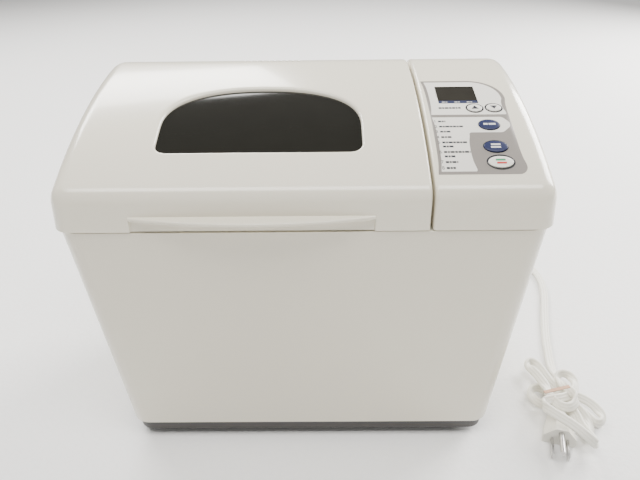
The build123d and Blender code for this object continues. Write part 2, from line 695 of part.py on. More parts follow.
def plug_blades():
    """Two flat blades and the round earth pin above them."""
    reach = (PLUG_FRONT - 17, PLUG_FRONT)
    blades = [block((PLUG_X + side * 6.35 - 0.75, PLUG_X + side * 6.35 + 0.75), reach, (2.4, 8.7))
              for side in (-1, 1)]
    pin = Pos(PLUG_X, PLUG_FRONT - 10, 14.6) * Rot(90, 0, 0) * Cylinder(2.4, 20)
    return turned_plug(Compound(children=blades + [pin]))


def cord_band():
    """The rubber band over the bundle, a thin strap on its top."""
    return Pos(*BAND_PLACE, BUNDLE_H + 0.6) * Rot(0, 0, BAND_TURN) * Box(26, 3, 1.0)


def main():
    os.makedirs("parts", exist_ok=True)
    save("lid_shell", lid_shell())
    save("window_pane", window_pane())
    save("lid_liner", lid_liner())
    save("liner_glass", liner_glass())
    save("control_housing", control_housing())
    save("control_label", control_label())
    save("lcd_window", lcd_window())
    save("lcd_module", lcd_module())
    save("control_board", control_board())
    save("tact_switches", tact_switches())
    for name in BUTTONS:
        save(name, button(name))
    save("body_shell", body_shell())
    save("base_tray", base_tray())
    for side, x in (("left", -FOOT_X), ("right", FOOT_X)):
        save(f"foot_front_{side}", foot(x, FOOT_Y[0]))
        save(f"foot_rear_{side}", foot(x, FOOT_Y[1]))
    save("top_deck", top_deck())
    save("hinge_brackets", hinge_brackets())
    save("hinge_pins", hinge_pins())
    save("chamber", chamber())
    save("heating_element", heating_element())
    save("element_insulators", element_insulators())
    save("chamber_spacers", chamber_spacers())
    save("temp_probe", temp_probe())
    save("pan_seat", pan_seat())
    save("bread_pan", bread_pan())
    save("pan_foot", pan_foot())
    save("pan_bush", pan_bush())
    save("pan_ears", pan_ears())
    save("bail_wire", bail_wire())
    save("bail_grip", bail_grip())
    save("pan_shaft", pan_shaft())
    save("pan_coupler", pan_coupler())
    save("paddle", paddle())
    save("chassis_plate", chassis_plate())
    save("bearing_housing", bearing_housing())
    save("drive_shaft", drive_shaft())
    save("large_pulley", large_pulley())
    save("drive_belt", drive_belt())
    save("drive_coupler", drive_coupler())
    save("motor", motor())
    save("motor_shaft", motor_shaft())
    save("small_pulley", pulley(MOTOR_X, SMALL_PULLEY_R, MOTOR_SHAFT_R))
    save("partition", partition())
    save("power_board", power_board())
    save("transformer", transformer())
    save("base_screws", base_screws())
    save("strain_relief", strain_relief())
    save("power_cord", power_cord())
    save("cord_bundle", cord_bundle())
    save("plug_body", plug_body())
    save("plug_blades", plug_blades())
    save("cord_band", cord_band())


main()
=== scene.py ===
import bpy
import bmesh
import math
from mathutils import Matrix, Vector
from mathutils.geometry import delaunay_2d_cdt


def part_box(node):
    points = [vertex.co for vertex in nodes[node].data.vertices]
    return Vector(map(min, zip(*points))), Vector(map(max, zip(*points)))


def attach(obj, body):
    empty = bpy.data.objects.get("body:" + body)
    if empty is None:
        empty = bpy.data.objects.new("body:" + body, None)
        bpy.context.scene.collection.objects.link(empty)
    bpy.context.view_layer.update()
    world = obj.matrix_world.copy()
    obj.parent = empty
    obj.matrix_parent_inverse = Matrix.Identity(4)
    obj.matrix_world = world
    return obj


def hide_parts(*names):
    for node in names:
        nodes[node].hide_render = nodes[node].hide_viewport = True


# Looks for the bread machine. Metres, in the CAD's frame: +X right, +Y back, +Z up, origin on the floor.

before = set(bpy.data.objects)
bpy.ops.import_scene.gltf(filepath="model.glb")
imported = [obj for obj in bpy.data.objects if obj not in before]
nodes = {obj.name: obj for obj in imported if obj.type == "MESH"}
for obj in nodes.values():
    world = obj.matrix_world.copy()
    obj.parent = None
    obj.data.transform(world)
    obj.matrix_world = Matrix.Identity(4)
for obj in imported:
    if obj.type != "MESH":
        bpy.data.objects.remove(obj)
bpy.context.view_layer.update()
MM = 0.001

# ---- sizes shared with the frame ----
LID_LOW, LID_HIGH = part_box("lid_shell")
HOUSING_LOW, HOUSING_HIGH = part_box("control_housing")
FRONT = HOUSING_LOW.y             # front face at the seam
BACK = HOUSING_HIGH.y
SEAM = HOUSING_LOW.z
HALF_WIDTH = HOUSING_HIGH.x
LID_RIGHT = LID_HIGH.x
HOUSING_LEFT = HOUSING_LOW.x
LIP = FRONT - LID_LOW.y           # how far the handle lip stands out

TOP_R = 383 * MM                  # long arc of the top, seen from the side
TOP_CENTRE = Vector((FRONT + 181.3 * MM, SEAM - 313.1 * MM))
FRONT_R, REAR_R = 14 * MM, 45 * MM
FRONT_LEAN, BACK_LEAN, SIDE_LEAN = math.radians(6), math.radians(3), math.radians(3.5)
END_R = (FRONT_R, 12 * MM, REAR_R)      # rounding into the side walls: at the front, top and rear
GAP_R = 2.4 * MM                        # rounding beside the gap between lid and housing
SKIN = 2.0 * MM

WINDOW_X, WINDOW_HALF = -30.4 * MM, 70.7 * MM
WINDOW_Y0, WINDOW_Y1, WINDOW_RISE = 36 * MM, 62.6 * MM, 42.8 * MM
WINDOW_CORNER = 8 * MM
ARCH_POWER = 2.25                 # 2 is an ellipse; a little more fills its shoulders
RECESS_X = (-113.7 * MM, 47 * MM)       # the hollow behind the handle lip
RECESS_TOP, RECESS_DEPTH = SEAM + 7.9 * MM, 1.5 * MM

HINGE_X = (-105 * MM, 25 * MM)
HINGE_Y, HINGE_Z = 96.5 * MM, 230 * MM
LUG_START = 4.2 * MM                    # from the middle of a hinge to its barrels


# ---- camera ----
CAMERA_PLACE = Vector((13.87, -396.2, 409.3)) * MM
CAMERA_TURN, CAMERA_DOWN, CAMERA_ROLL = math.radians(0.563), math.radians(32.829), math.radians(-0.735)
CAMERA_LENS = 30.45375            # mm, on a 36 mm wide sensor


def make_camera():
    data = bpy.data.cameras.new("camera")
    data.sensor_width = 36
    data.lens = CAMERA_LENS
    data.clip_start = 0.01
    cam = bpy.data.objects.new("camera", data)
    bpy.context.scene.collection.objects.link(cam)
    turn = Matrix.Rotation(CAMERA_TURN, 4, "Z")
    tilt = Matrix.Rotation(math.pi / 2 - CAMERA_DOWN, 4, "X")
    roll = Matrix.Rotation(CAMERA_ROLL, 4, "Z")
    cam.matrix_world = Matrix.Translation(CAMERA_PLACE) @ turn @ tilt @ roll
    bpy.context.scene.camera = cam


# ---- mesh helpers ----
def add_object(name, mesh):
    obj = bpy.data.objects.new(name, mesh)
    bpy.context.scene.collection.objects.link(obj)
    return obj


def mesh_object(name, verts, faces, material=None, smooth=True):
    mesh = bpy.data.meshes.new(name)
    mesh.from_pydata([tuple(v) for v in verts], [], faces)
    mesh.validate()
    work = bmesh.new()
    work.from_mesh(mesh)
    bmesh.ops.remove_doubles(work, verts=work.verts, dist=1e-6)
    bmesh.ops.recalc_face_normals(work, faces=work.faces)
    work.to_mesh(mesh)
    work.free()
    for face in mesh.polygons:
        face.use_smooth = smooth
    obj = add_object(name, mesh)
    if material:
        mesh.materials.append(material)
    return obj


def apply_modifiers(obj):
    """Turns the modifiers into plain mesh."""
    depsgraph = bpy.context.evaluated_depsgraph_get()
    mesh = bpy.data.meshes.new_from_object(obj.evaluated_get(depsgraph))
    obj.modifiers.clear()
    obj.data = mesh
    return obj


def solidify(obj, thickness):
    mod = obj.modifiers.new("skin", "SOLIDIFY")
    mod.thickness = thickness
    mod.offset = -1
    return apply_modifiers(obj)


def sharpen(obj, degrees=35):
    """Smooth shading with hard edges over the given angle."""
    for face in obj.data.polygons:
        face.use_smooth = True
    obj.data.set_sharp_from_angle(angle=math.radians(degrees))


def cut(obj, cutter):
    """Takes the cutter out of the mesh and removes the cutter."""
    mod = obj.modifiers.new("cut", "BOOLEAN")
    mod.operation = "DIFFERENCE"
    mod.solver = "EXACT"
    mod.object = cutter
    apply_modifiers(obj)
    bpy.data.objects.remove(cutter)


def boxes(name, ranges):
    """One mesh of separate boxes, each (x range, y range, z range)."""
    verts, faces = [], []
    for x, y, z in ranges:
        base = len(verts)
        verts += [(a, b, c) for c in z for b in y for a in x]
        corner = lambda *ids: tuple(base + i for i in ids)
        faces += [corner(0, 2, 3, 1), corner(4, 5, 7, 6), corner(0, 1, 5, 4), corner(2, 6, 7, 3),
                  corner(0, 4, 6, 2), corner(1, 3, 7, 5)]
    return mesh_object(name, verts, faces, smooth=False)


def grid_faces(rows, columns, closed=False):
    """Quads between rows of points, each row with the same number of columns."""
    faces = []
    for r in range(rows - 1):
        for c in range(columns if closed else columns - 1):
            d = (c + 1) % columns
            faces.append((r * columns + c, r * columns + d, (r + 1) * columns + d, (r + 1) * columns + c))
    return faces


def join(name, objects):
    """Joins meshes with their materials into the first one."""
    bpy.ops.object.select_all(action="DESELECT")
    for obj in objects:
        obj.select_set(True)
    bpy.context.view_layer.objects.active = objects[0]
    bpy.ops.object.join()
    objects[0].name = name
    return objects[0]


def smoothstep(low, high, value):
    t = min(max((value - low) / (high - low), 0), 1)
    return t * t * (3 - 2 * t)


# ---- materials ----
def finish(name, colour, rough, metal=0.0, coat=0.0, spread=0.03, grain=60.0, bump=0.0, clear=0.0,
           shine=0.5):
    """A material whose colour and roughness wander a little over the surface."""
    material = bpy.data.materials.new(name)
    material.use_nodes = True
    tree = material.node_tree
    shader = tree.nodes["Principled BSDF"]
    shader.inputs["Metallic"].default_value = metal
    shader.inputs["Coat Weight"].default_value = coat
    shader.inputs["Coat Roughness"].default_value = 0.08
    shader.inputs["Transmission Weight"].default_value = clear
    shader.inputs["Specular IOR Level"].default_value = shine
    place = tree.nodes.new("ShaderNodeTexCoord")
    noise = tree.nodes.new("ShaderNodeTexNoise")
    noise.inputs["Scale"].default_value = grain
    noise.inputs["Detail"].default_value = 3
    tree.links.new(place.outputs["Object"], noise.inputs["Vector"])
    ramp = tree.nodes.new("ShaderNodeValToRGB")
    ramp.color_ramp.elements[0].color = [max(c * (1 - spread), 0) for c in colour] + [1]
    ramp.color_ramp.elements[1].color = [min(c * (1 + spread), 1) for c in colour] + [1]
    tree.links.new(noise.outputs["Fac"], ramp.inputs["Fac"])
    tree.links.new(ramp.outputs["Color"], shader.inputs["Base Color"])
    gloss = tree.nodes.new("ShaderNodeMapRange")
    gloss.inputs["To Min"].default_value = rough * 0.9
    gloss.inputs["To Max"].default_value = rough * 1.1
    tree.links.new(noise.outputs["Fac"], gloss.inputs["Value"])
    tree.links.new(gloss.outputs["Result"], shader.inputs["Roughness"])
    if bump:
        relief = tree.nodes.new("ShaderNodeBump")
        relief.inputs["Strength"].default_value = bump
        relief.inputs["Distance"].default_value = 0.4 * MM
        tree.links.new(noise.outputs["Fac"], relief.inputs["Height"])
        tree.links.new(relief.outputs["Normal"], shader.inputs["Normal"])
    return material


FINISHES = {
    "white_shell": finish("white_shell", (0.80, 0.755, 0.63), 0.22, coat=0.3, spread=0.008, grain=14),
    "smoked_window": finish("smoked_window", (0.013, 0.0125, 0.010), 0.07, spread=0.1, shine=0.25),
    "liner_metal": finish("liner_metal", (0.55, 0.55, 0.54), 0.35, metal=0.9),
    "liner_glass": finish("liner_glass", (0.86, 0.88, 0.88), 0.05, clear=0.95),
    "label_film": finish("label_film", (0.215, 0.195, 0.175), 0.45, spread=0.03, grain=300),
    "label_cream": finish("label_cream", (0.76, 0.74, 0.68), 0.35, spread=0.01, grain=200),
    "label_ink": finish("label_ink", (0.025, 0.025, 0.032), 0.5, spread=0.05, grain=400, shine=0.2),
    "label_pale": finish("label_pale", (0.66, 0.66, 0.64), 0.4, spread=0.02, grain=400),
    "label_navy": finish("label_navy", (0.020, 0.026, 0.07), 0.35, spread=0.05, grain=300),
    "mark_green": finish("mark_green", (0.03, 0.24, 0.10), 0.4, spread=0.05, grain=300),
    "mark_red": finish("mark_red", (0.50, 0.03, 0.025), 0.4, spread=0.05, grain=300),
    "lcd_cover": finish("lcd_cover", (0.022, 0.020, 0.016), 0.25, spread=0.3, grain=45, shine=0.15),
    "lcd_dark": finish("lcd_dark", (0.05, 0.055, 0.05), 0.3),
    "circuit_board": finish("circuit_board", (0.03, 0.16, 0.06), 0.5, spread=0.2),
    "black_plastic": finish("black_plastic", (0.02, 0.02, 0.021), 0.45, spread=0.15, bump=0.2, grain=400),
    "button_white": finish("button_white", (0.78, 0.76, 0.70), 0.3, coat=0.2, spread=0.01),
    "button_navy": finish("button_navy", (0.016, 0.022, 0.070), 0.38, spread=0.05, shine=0.3),
    "dark_base": finish("dark_base", (0.055, 0.052, 0.05), 0.5, spread=0.1, grain=500, bump=0.15),
    "rubber_feet": finish("rubber_feet", (0.03, 0.03, 0.03), 0.75, spread=0.2, grain=500, bump=0.3),
    "steel_parts": finish("steel_parts", (0.56, 0.56, 0.57), 0.3, metal=1.0, grain=120),
    "chamber_steel": finish("chamber_steel", (0.48, 0.48, 0.47), 0.42, metal=0.9, spread=0.1, grain=70),
    "element_sheath": finish("element_sheath", (0.10, 0.10, 0.10), 0.5, metal=0.6, spread=0.15),
    "ceramic": finish("ceramic", (0.82, 0.80, 0.76), 0.5),
    "pan_coating": finish("pan_coating", (0.11, 0.11, 0.12), 0.4, metal=0.3, spread=0.15, grain=700),
    "paddle_coating": finish("paddle_coating", (0.06, 0.06, 0.065), 0.4, metal=0.2, spread=0.15, grain=700),
    "cast_alloy": finish("cast_alloy", (0.50, 0.50, 0.50), 0.5, metal=0.9, spread=0.08, grain=500, bump=0.2),
    "chrome_wire": finish("chrome_wire", (0.66, 0.66, 0.66), 0.15, metal=1.0),
    "pulley_alloy": finish("pulley_alloy", (0.45, 0.45, 0.46), 0.4, metal=0.9),
    "belt_rubber": finish("belt_rubber", (0.025, 0.025, 0.025), 0.7, spread=0.2, grain=400, bump=0.3),
    "motor_can": finish("motor_can", (0.42, 0.43, 0.44), 0.35, metal=0.9, spread=0.06),
    "cord_jacket": finish("cord_jacket", (0.80, 0.78, 0.70), 0.45, spread=0.015, grain=250, bump=0.05),
    "plug_metal": finish("plug_metal", (0.50, 0.49, 0.48), 0.28, metal=1.0, grain=200),
    "band_rubber": finish("band_rubber", (0.52, 0.30, 0.19), 0.55, spread=0.08, grain=300, bump=0.1),
}


def dress_nodes():
    """Gives every CAD node the finish of its record slot."""
    for node in nodes.values():
        for place in node.material_slots:
            slot = place.material.name.split(".")[0]
            place.material = FINISHES[slot]


# ---- power cord ----
CORD_WIDTH, CORD_THICK = 8.5 * MM, 3.4 * MM
LEAN, BEND_LEAN = 35, 40          # degrees the broad face leans in the bundle, and more in a tight bend
SMOOTH_PASSES = 12
LEAD = [
    (120, 122.5, 45), (120, 151, 45), (134, 183, 20), (166, 206, 4), (212, 213, 3), (255, 197, 3),
    (280, 163, 3), (279, 122, 3), (263, 76, 3), (250, 34, 3), (243, 3, 3),
]
# The tied bundle, from the lead to the plug: loops that fan out on both sides of the band.
TIED = [
    (240, -10, 4.5), (238.5, -26, 9), (237.5, -40, 15), (240, -50, 18), (243, -57, 18.5), (239, -66, 18),
    (230, -70, 17.5), (221, -64, 17.5), (220, -53, 17), (221, -40, 15), (219, -24, 12.5), (214, -11, 10.5),
    (220, -2, 9.5), (227, -11, 9), (230, -34, 9), (240, -45, 8.5), (253, -49, 8), (263, -59, 7),
    (265, -73, 6), (256, -79, 6), (249, -65, 6), (240, -52, 6), (228, -44, 6), (219, -34, 6),
    (210, -37, 6), (208, -48, 6), (214, -57, 6.5), (228, -57, 7), (241, -54, 7), (249, -65, 6),
    (250, -81, 5.5), (244, -92, 5.5), (238, -82, 5.5), (239, -62, 6), (236, -46, 8), (236, -31, 10),
    (242, -21, 11), (251, -24, 11.5), (252, -36, 12), (247, -46, 13), (234, -56, 15), (215, -61, 19),
    (207, -70, 22), (214, -80, 23), (225, -91, 23), (234, -102, 21), (242, -107, 15), (244, -96, 9),
    (240, -81, 8), (240, -66, 9), (234, -53, 9), (226.5, -55, 9), (224.2, -67.5, 8.7),
]


def spline_curve(points):
    """A NURBS curve over the given control points, in millimetres."""
    data = bpy.data.curves.new("cord_line", "CURVE")
    data.dimensions = "3D"
    data.resolution_u = 12
    line = data.splines.new("NURBS")
    line.points.add(len(points) - 1)
    for place, point in zip(line.points, points):
        place.co = (*(Vector(point) * MM), 1)
    line.order_u = 3
    line.use_endpoint_u = True
    return bpy.data.objects.new("cord_line", data)


def spline_points(points, step=1.5 * MM):
    """Even points read from the spline."""
    holder = spline_curve(points)
    bpy.context.scene.collection.objects.link(holder)
    mesh = bpy.data.meshes.new_from_object(holder)
    raw = [v.co.copy() for v in mesh.vertices]
    bpy.data.objects.remove(holder)
    run = [0.0]
    for a, b in zip(raw, raw[1:]):
        run.append(run[-1] + (b - a).length)
    count = round(run[-1] / step)
    found = []
    at = 0
    for i in range(count + 1):
        want = run[-1] * i / count
        while at < len(raw) - 2 and run[at + 1] < want:
            at += 1
        share = (want - run[at]) / max(run[at + 1] - run[at], 1e-9)
        found.append(raw[at].lerp(raw[at + 1], min(max(share, 0), 1)))
    return found


def flat_cord_section():
    """Outline of the flat three-core cord: three round ribs side by side."""
    rib = CORD_THICK / 2
    pitch = (CORD_WIDTH - CORD_THICK) / 2
    upper = []
    for centre, start, end in ((pitch, 0, 122), (0, 58, 122), (-pitch, 58, 180)):
        for i in range(6):
            turn = math.radians(start + (end - start) * i / 5)
            upper.append((centre + rib * math.cos(turn), rib * math.sin(turn)))
    lower = [(x, -y) for x, y in reversed(upper[1:-1])]
    return upper + lower


def headings(path):
    """The direction of travel at each point."""
    last = len(path) - 1
    return [(path[min(i + 1, last)] - path[max(i - 1, 0)]).normalized() for i in range(last + 1)]


def tilt_angles(path, lead_end):
    """How far the broad face leans to the front: not at all on the lead, most in tight bends."""
    ahead = headings(path)
    spacing = (path[1] - path[0]).length
    last = len(path) - 1
    tilts = []
    for i in range(last + 1):
        bend = ahead[max(i - 2, 0)].angle(ahead[min(i + 2, last)]) / (4 * spacing)
        lean = LEAN + BEND_LEAN * smoothstep(60, 160, bend)
        to_lead = smoothstep(0, 40 * MM, (i - lead_end) * spacing)
        to_plug = smoothstep(4 * MM, 24 * MM, (last - i) * spacing)
        tilts.append(math.radians(lean) * to_lead * to_plug)
    return tilts


def cord_widths(path, tilts):
    """The direction of the cord's width at each point, turning smoothly along it."""
    ahead = headings(path)
    wides = []
    for along, tilt in zip(ahead, tilts):
        level = Vector((0, 0, 1)).cross(along).normalized()
        upright = along.cross(level).normalized()
        side = level if level.y <= 0 else -level
        wide = (upright * math.cos(tilt) + side * math.sin(tilt)).cross(along)
        if wides and wide.dot(wides[-1]) < 0:
            wide = -wide
        wides.append(wide)
    for _ in range(SMOOTH_PASSES):
        ends = [wides[0]] + wides + [wides[-1]]
        wides = [(a + b * 2 + c).normalized() for a, b, c in zip(ends, ends[1:], ends[2:])]
    return [(wide - along * wide.dot(along)).normalized() for wide, along in zip(wides, ahead)]


def sweep_flat(name, path, wides, section, material):
    """Sweeps a section along the path, its width along the given directions."""
    verts = []
    for point, along, wide in zip(path, headings(path), wides):
        thick = along.cross(wide)
        verts += [point + wide * x + thick * y for x, y in section]
    count = len(section)
    faces = grid_faces(len(path), count, closed=True)
    faces += [tuple(range(count)), tuple(reversed(range(len(verts) - count, len(verts))))]
    return mesh_object(name, verts, faces, material)


def make_cord():
    path = spline_points(LEAD + TIED)
    lead_end = min(range(len(path)), key=lambda i: (path[i] - Vector(LEAD[-1]) * MM).length)
    wides = cord_widths(path, tilt_angles(path, lead_end))
    piece = sweep_flat("mains_cord", path, wides, flat_cord_section(), FINISHES["cord_jacket"])
    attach(piece, "housing")
    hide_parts("power_cord", "cord_bundle")


# ---- the common form of lid and control housing ----
def top_z(y):
    """Height of the long arc at y."""
    return TOP_CENTRE.y + math.sqrt(TOP_R ** 2 - (y - TOP_CENTRE.x) ** 2)


def corner_circle(foot, up, outward, radius):
    """Centre of the circle that touches a wall and the long arc from inside."""
    start = foot - outward * radius - TOP_CENTRE
    along = start.dot(up)
    rest = start.dot(start) - (TOP_R - radius) ** 2
    return foot - outward * radius + up * (-along + math.sqrt(along ** 2 - rest))


def angle_of(direction):
    return math.atan2(direction.y, direction.x)


def arc_rows(centre, radius, start, end, count):
    """Points and outward normals from angle start towards angle end, without the last one."""
    rows = []
    for i in range(count):
        angle = start + (end - start) * i / count
        normal = Vector((math.cos(angle), math.sin(angle)))
        rows.append((centre + normal * radius, normal))
    return rows


def wall_rows(foot, top, lean, side, heights):
    """Points up a leaning wall; the normal turns from level at the foot to square at the top."""
    rows = []
    for height in heights:
        share = height / (top - foot).length
        normal = Vector((side * math.cos(lean * share), math.sin(lean * share)))
        rows.append((foot.lerp(top, share), normal))
    return rows


def side_profile(stops):
    """(point, outward normal) pairs up the front, over the top and down the back."""
    up_front = Vector((math.sin(FRONT_LEAN), math.cos(FRONT_LEAN)))
    out_front = Vector((-math.cos(FRONT_LEAN), math.sin(FRONT_LEAN)))
    up_back = Vector((-math.sin(BACK_LEAN), math.cos(BACK_LEAN)))
    out_back = Vector((math.cos(BACK_LEAN), math.sin(BACK_LEAN)))
    foot_front, foot_back = Vector((FRONT, SEAM)), Vector((BACK, SEAM))
    front = corner_circle(foot_front, up_front, out_front, FRONT_R)
    back = corner_circle(foot_back, up_back, out_back, REAR_R)
    front_top, back_top = (front - TOP_CENTRE).normalized(), (back - TOP_CENTRE).normalized()
    top = front + out_front * FRONT_R
    wall = (top - foot_front).length
    low = [0, 3 * MM, 6 * MM, 7.7 * MM, 8.2 * MM]
    rest = [8.2 * MM + (wall - 8.2 * MM) * i / 8 for i in range(1, 8)]
    rows = wall_rows(foot_front, top, FRONT_LEAN, -1, low + rest)
    rows += arc_rows(front, FRONT_R, angle_of(out_front), angle_of(front_top), 12)
    y0, y1 = (TOP_CENTRE + front_top * TOP_R).x, (TOP_CENTRE + back_top * TOP_R).x
    marks = [y0] + [s for s in stops if y0 < s < y1] + [y1]
    for a, b in zip(marks, marks[1:]):
        steps = max(1, round((b - a) / (3 * MM)))
        for i in range(steps):
            y = a + (b - a) * i / steps
            point = Vector((y, top_z(y)))
            rows.append((point, (point - TOP_CENTRE).normalized()))
    rows += arc_rows(back, REAR_R, angle_of(back_top), angle_of(out_back), 24)
    top = back + out_back * REAR_R
    wall = (top - foot_back).length
    rows += wall_rows(foot_back, top, BACK_LEAN, 1, [wall * share for share in (1, 0.75, 0.5, 0.25, 0)])
    return rows


def end_radius(normal):
    """Radius of the rounding into the side wall: it grows as the surface turns from the top to a wall."""
    front, top, rear = END_R
    forward = (front - top) * smoothstep(0, 1, -normal.x)
    return top + forward + (rear - top) * smoothstep(0.15, 1, normal.x)


def moulding_stations(gap_x, outer_x, stops):
    """(x, inset, end share, end turn) for each line of the skin, from the gap to the outer side."""
    side = 1 if outer_x > gap_x else -1
    shared = outer_x - side * END_R[2]
    stations = []
    for i in range(6):
        turn = math.radians(90 * i / 6)
        stations.append((gap_x + side * GAP_R * (1 - math.cos(turn)), GAP_R * (1 - math.sin(turn)), 0, 0))
    marks = [gap_x + side * GAP_R] + sorted(stops, reverse=side < 0) + [shared]
    stations.append((marks[0], 0, 0, 0))
    for a, b in zip(marks, marks[1:]):
        steps = max(1, round(abs(b - a) / (3 * MM)))
        stations += [(a + (b - a) * (i + 1) / steps, 0, 0, 0) for i in range(steps)]
    stations += [(shared, 0, (i + 1) / 10, 0) for i in range(10)]
    stations += [(shared, 0, 1, math.radians(90 * (i + 1) / 14)) for i in range(14)]
    return stations


def moulding_grid(gap_x, outer_x, x_stops, y_stops):
    """Points of the outer skin: one list per station, each along the side profile."""
    side = 1 if outer_x > gap_x else -1
    rows = side_profile(y_stops)
    grid = []
    for x, inset, share, turn in moulding_stations(gap_x, outer_x, x_stops):
        line = []
        for point, normal in rows:
            radius = end_radius(normal)
            here = x + (outer_x - side * radius - x) * share + side * radius * math.sin(turn)
            moved = point - normal * (inset + radius * (1 - math.cos(turn)))
            lean = math.tan(SIDE_LEAN) * (moved.y - SEAM) * smoothstep(80 * MM, HALF_WIDTH, side * here)
            line.append(Vector((here - side * lean, moved.x, max(moved.y, SEAM))))
        grid.append(line)
    return grid


def moulding_mesh(name, grid, holes, more_verts=(), more_faces=()):
    """The skin from the grid, left open between each hole's (first, last) lines and columns, made solid."""
    columns = len(grid[0])
    verts = [v for line in grid for v in line]
    faces = grid_faces(len(grid), columns)
    for (r0, r1), (c0, c1) in holes:
        faces = [f for f in faces if not (r0 <= f[0] // columns < r1 and c0 <= f[0] % columns < c1)]
    first, last = range(columns), range((len(grid) - 1) * columns, len(grid) * columns)
    faces += [tuple(first), tuple(last)]
    faces += [tuple(i + len(verts) for i in f) for f in more_faces]
    obj = mesh_object(name, verts + list(more_verts), faces, FINISHES["white_shell"])
    lift = sum(face.normal.z * face.area for face in obj.data.polygons)
    if lift < 0:
        obj.data.flip_normals()
    return solidify(obj, SKIN)


# ---- lid ----
def window_radius(angle, grow):
    """Distance from the window's centre to its outline, which is an arch over a rounded sill."""
    half, rise = WINDOW_HALF + grow, WINDOW_RISE + grow
    sill, corner = WINDOW_Y1 - WINDOW_Y0 + grow, WINDOW_CORNER + grow
    c, s = math.cos(angle), math.sin(angle)
    if s >= 0:
        return ((abs(c) / half) ** ARCH_POWER + (s / rise) ** ARCH_POWER) ** (-1 / ARCH_POWER)
    reach = min(half / max(abs(c), 1e-6), sill / abs(s))
    x, y = abs(reach * c), abs(reach * s)
    if x > half - corner and y > sill - corner:
        along = abs(c) * (half - corner) + abs(s) * (sill - corner)
        far = (half - corner) ** 2 + (sill - corner) ** 2 - corner ** 2
        reach = along + math.sqrt(max(along ** 2 - far, 0))
    return reach


def window_surround(loop):
    """Rings of faces from the loop on the lid's top to the window's rounded edge and down its wall."""
    centre = Vector((WINDOW_X, FRONT + WINDOW_Y1))
    angles = [math.atan2(p.y - centre.y, p.x - centre.x) for p in loop]
    verts = list(loop)
    edge = 2.2 * MM
    for share in (0.2, 0.4, 0.6, 0.75, 0.88, 0.95, 1):
        for point, angle in zip(loop, angles):
            near = centre + Vector((math.cos(angle), math.sin(angle))) * window_radius(angle, edge)
            flat = Vector((point.x, point.y)).lerp(near, share)
            verts.append(Vector((flat.x, flat.y, top_z(flat.y))))
    steps = [(edge * (1 - math.sin(t)), edge * (1 - math.cos(t)))
             for t in (math.radians(90 * i / 6) for i in range(1, 7))]
    for grow, depth in steps + [(0, 3.6 * MM)]:
        for angle in angles:
            flat = centre + Vector((math.cos(angle), math.sin(angle))) * window_radius(angle, grow)
            verts.append(Vector((flat.x, flat.y, top_z(flat.y) - depth)))
    return verts, grid_faces(len(verts) // len(loop), len(loop), closed=True)


def nearest(values, wanted):
    return min(range(len(values)), key=lambda i: abs(values[i] - wanted))


def grid_range(grid, x_range, y_range):
    """The grid's lines and columns that lie nearest to a rectangle's edges on the top."""
    middle = len(grid[0]) // 2
    across = [line[middle].x for line in grid]
    along = [v.y for v in grid[len(grid) // 2]]
    lines = sorted(nearest(across, x) for x in x_range)
    return tuple(lines), tuple(nearest(along, y) for y in y_range)


def patch_loop(grid, hole):
    """The grid's points round the hole."""
    (r0, r1), (c0, c1) = hole
    loop = [grid[r0][c] for c in range(c0, c1)]
    loop += [grid[r][c1] for r in range(r0, r1)]
    loop += [grid[r1][c] for c in range(c1, c0, -1)]
    return loop + [grid[r][c0] for r in range(r1, r0, -1)]


def handle_lip():
    """The crescent ledge on the lid's front."""
    x0, x1 = RECESS_X
    radius = (((x1 - x0) / 2) ** 2 + LIP ** 2) / (2 * LIP)
    low, high, round_off = SEAM + 8 * MM, SEAM + 11 * MM, 1.3 * MM
    verts = []
    count = 48
    for i in range(count + 1):
        x = x0 + (x1 - x0) * i / count
        edge = FRONT - LIP + radius - math.sqrt(radius ** 2 - (x - (x0 + x1) / 2) ** 2)
        edge = min(edge, FRONT + 0.2 * MM)
        verts.append(Vector((x, FRONT + 2 * MM, high)))
        for k in range(9):
            turn = math.radians(90 - 180 * k / 8)
            y = edge + round_off * (1 - math.cos(turn))
            verts.append(Vector((x, y, (low + high) / 2 + (high - low) / 2 * math.sin(turn))))
        verts.append(Vector((x, FRONT + 2 * MM, low)))
    faces = grid_faces(count + 1, 11)
    return mesh_object("lip", verts, faces, FINISHES["white_shell"])


def hinge_lugs():
    """The barrels that the hinge pins run in, beside each bracket."""
    radius, reach = 7 * MM, 10 * MM
    lugs = []
    for x in HINGE_X:
        for side in (-1, 1):
            middle = x + side * (LUG_START + reach / 2)
            bpy.ops.mesh.primitive_cylinder_add(vertices=32, radius=radius, depth=reach,
                                                location=(middle, HINGE_Y, HINGE_Z),
                                                rotation=(0, math.pi / 2, 0))
            lug = bpy.context.object
            lug.data.materials.append(FINISHES["white_shell"])
            lugs.append(lug)
    return lugs


